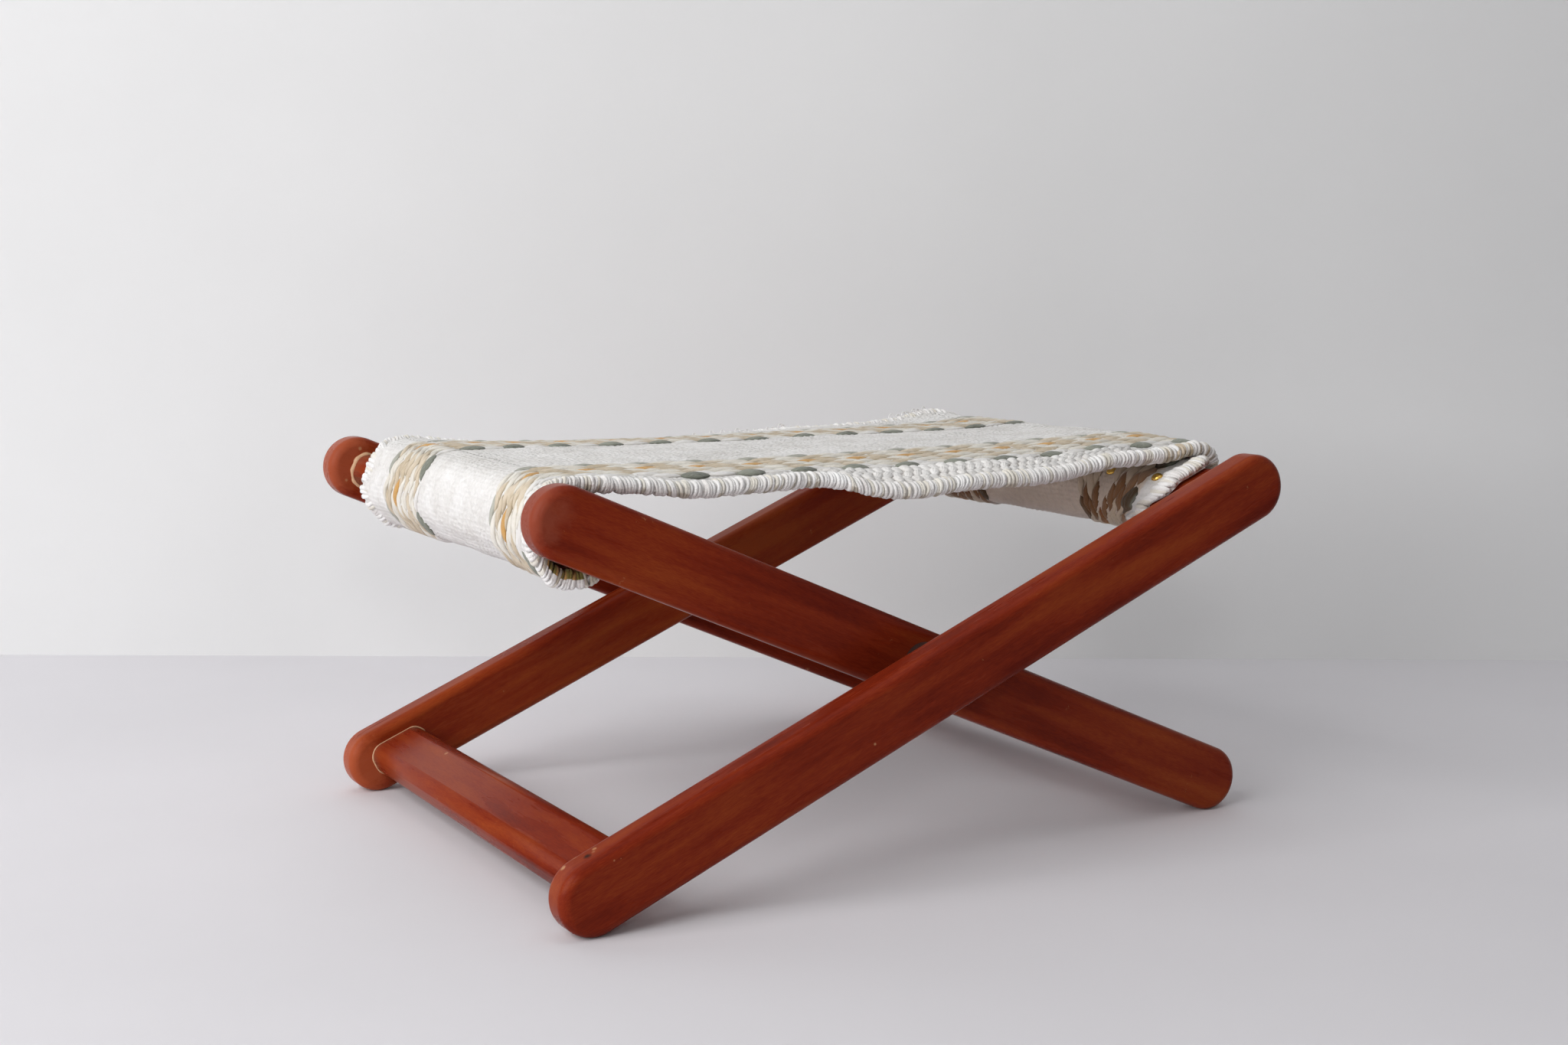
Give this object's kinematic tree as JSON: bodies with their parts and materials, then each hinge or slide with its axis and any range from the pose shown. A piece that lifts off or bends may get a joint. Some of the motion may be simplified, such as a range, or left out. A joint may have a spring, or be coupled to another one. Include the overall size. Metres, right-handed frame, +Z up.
{
  "type": "folding footstool",
  "caption": "Low folding footstool: two crossed wooden frames on a pivot at each side, with a striped hand-woven sling wrapped round the upper rails as the seat.",
  "frame": {"origin": "on the floor under the middle of the stool", "axes": "+X along the stool's length, to the right in the picture; +Y across it, away from the near side; +Z up"},
  "size_m": [0.5394, 0.441, 0.2629],
  "materials": {
    "leg_wood": "stained red-brown, semi-gloss",
    "rail_wood": "stained red-brown, semi-gloss",
    "dowel_wood": "bare beech",
    "bolt_steel": "zinc plated",
    "washer_steel": "zinc plated",
    "spacer_nylon": "dark brown nylon",
    "insert_brass": "plain brass",
    "tack_brass": "polished brass",
    "sling_cloth": "thick hand-woven wool and cotton, cream with stripes"
  },
  "bodies": {
    "frame_a": {"outer_leg_a": "leg_wood", "inner_leg_a": "leg_wood", "top_rail_a": "rail_wood", "foot_rail_a": "rail_wood", "dowel_a_top_outer_1": "dowel_wood", "dowel_a_top_outer_2": "dowel_wood", "dowel_a_top_inner_1": "dowel_wood", "dowel_a_top_inner_2": "dowel_wood", "dowel_a_foot_outer_1": "dowel_wood", "dowel_a_foot_outer_2": "dowel_wood", "dowel_a_foot_inner_1": "dowel_wood", "dowel_a_foot_inner_2": "dowel_wood", "pivot_bolt_a": "bolt_steel", "pivot_washer_a": "washer_steel", "pivot_spacer_a": "spacer_nylon", "threaded_insert_a": "insert_brass", "tack_right_1": "tack_brass", "tack_right_2": "tack_brass", "tack_right_3": "tack_brass", "tack_right_4": "tack_brass", "tack_right_5": "tack_brass", "tack_right_6": "tack_brass", "tack_right_7": "tack_brass", "sling_wrap_right": "sling_cloth", "sling_seat": "sling_cloth"},
    "frame_b": {"outer_leg_b": "leg_wood", "inner_leg_b": "leg_wood", "top_rail_b": "rail_wood", "foot_rail_b": "rail_wood", "dowel_b_top_outer_1": "dowel_wood", "dowel_b_top_outer_2": "dowel_wood", "dowel_b_top_inner_1": "dowel_wood", "dowel_b_top_inner_2": "dowel_wood", "dowel_b_foot_outer_1": "dowel_wood", "dowel_b_foot_outer_2": "dowel_wood", "dowel_b_foot_inner_1": "dowel_wood", "dowel_b_foot_inner_2": "dowel_wood", "pivot_bolt_b": "bolt_steel", "pivot_washer_b": "washer_steel", "pivot_spacer_b": "spacer_nylon", "threaded_insert_b": "insert_brass", "tack_left_1": "tack_brass", "tack_left_2": "tack_brass", "tack_left_3": "tack_brass", "tack_left_4": "tack_brass", "tack_left_5": "tack_brass", "tack_left_6": "tack_brass", "tack_left_7": "tack_brass", "sling_wrap_left": "sling_cloth"}
  },
  "joints": [
    {"name": "fold", "type": "hinge", "parent": "frame_a", "child": "frame_b", "pos_m": [0, 0, 0.12847], "axis": [0, 1, 0], "range_deg": [0, 113], "deforming": ["sling_seat"]}
  ]
}
